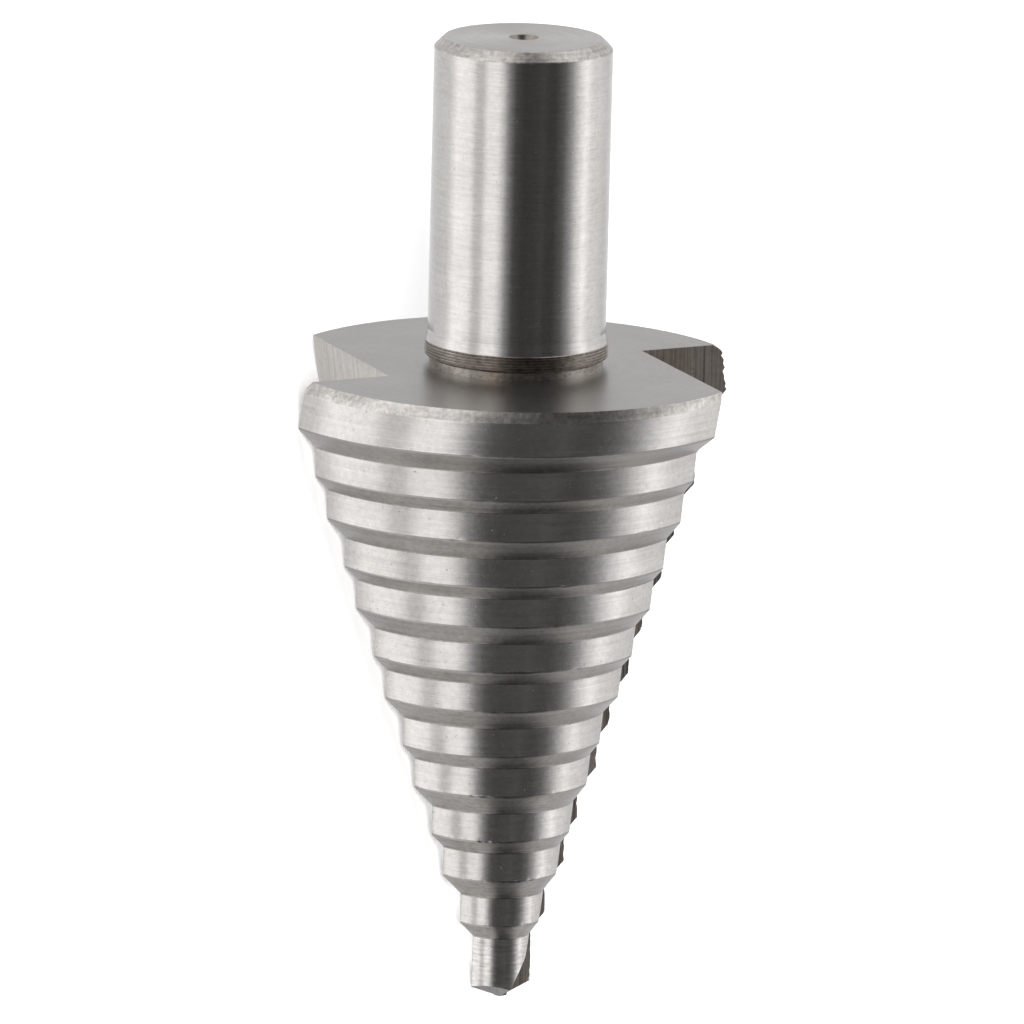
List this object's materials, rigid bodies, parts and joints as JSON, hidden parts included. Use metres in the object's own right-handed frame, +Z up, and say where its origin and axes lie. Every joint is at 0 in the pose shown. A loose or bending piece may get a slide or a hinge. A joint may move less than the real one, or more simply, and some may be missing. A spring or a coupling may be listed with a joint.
{
  "type": "step drill",
  "caption": "Cone-shaped step drill with a plain round shank, a flange, rising cylindrical steps with chamfers between them, straight V flutes and a short ground pilot point",
  "frame": {"origin": "centre of the footprint on the ground plane, under the drill as it lies on one flute", "axes": "+Z up, +Y towards the shank end, the drill's own axis in the YZ plane and rising towards the shank"},
  "size_m": [0.0336, 0.069, 0.0295],
  "materials": {
    "ground_steel": "bright ground tool steel, uncoated, with fine turning and grinding lines"
  },
  "bodies": {
    "root": {"step_drill": "ground_steel"}
  },
  "joints": []
}
